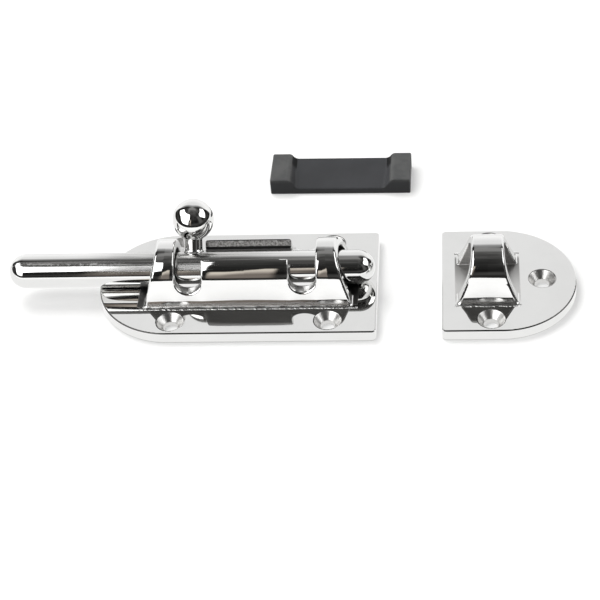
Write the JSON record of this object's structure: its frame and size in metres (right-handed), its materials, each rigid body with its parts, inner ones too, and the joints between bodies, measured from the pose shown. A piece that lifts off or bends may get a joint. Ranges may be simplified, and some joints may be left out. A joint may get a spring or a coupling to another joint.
{
  "type": "barrel bolt",
  "caption": "Barrel bolt in polished stainless: cast plate with arched housing, round bolt with ball knob that drops into side notches, matching keeper and a moulded insert.",
  "frame": {"origin": "on the mounting face of the base plate, straight under the bolt's axis, at the centre of the plate's round end", "axes": "+X along the bolt's axis, the way the bolt is thrown; +Z away from the mounting face; +Y to the back"},
  "size_m": [0.2062, 0.1008, 0.0326],
  "materials": {
    "polished_casting": "cast stainless steel, mirror polished outside, as cast and matt inside the bore and on the slot's faces",
    "polished_bar": "stainless steel bar, mirror polished",
    "polished_knob": "turned stainless steel, mirror polished",
    "moulded_insert": "dark grey moulding, matt with a faint sheen on its edges"
  },
  "bodies": {
    "base": {"base_housing": "polished_casting"},
    "bolt": {"slide_bolt": "polished_bar"},
    "knob": {"bolt_knob": "polished_knob"},
    "keeper": {"keeper": "polished_casting"},
    "insert": {"slide_insert": "moulded_insert"}
  },
  "joints": [
    {"name": "bolt_slide", "type": "slide", "parent": "base", "child": "bolt", "axis": [1, 0, 0], "range_m": [-0.0021, 0.0409]},
    {"name": "knob_turn", "type": "hinge", "parent": "bolt", "child": "knob", "pos_m": [0.0083, 0, 0.01115], "axis": [1, 0, 0], "range_deg": [-30, 110]},
    {"name": "keeper_gap", "type": "slide", "parent": "base", "child": "keeper", "axis": [1, 0, 0], "range_m": [-0.018, 0.02]},
    {"name": "insert_lift", "type": "slide", "parent": "base", "child": "insert", "axis": [0, 0, 1], "range_m": [0, 0.03]}
  ]
}
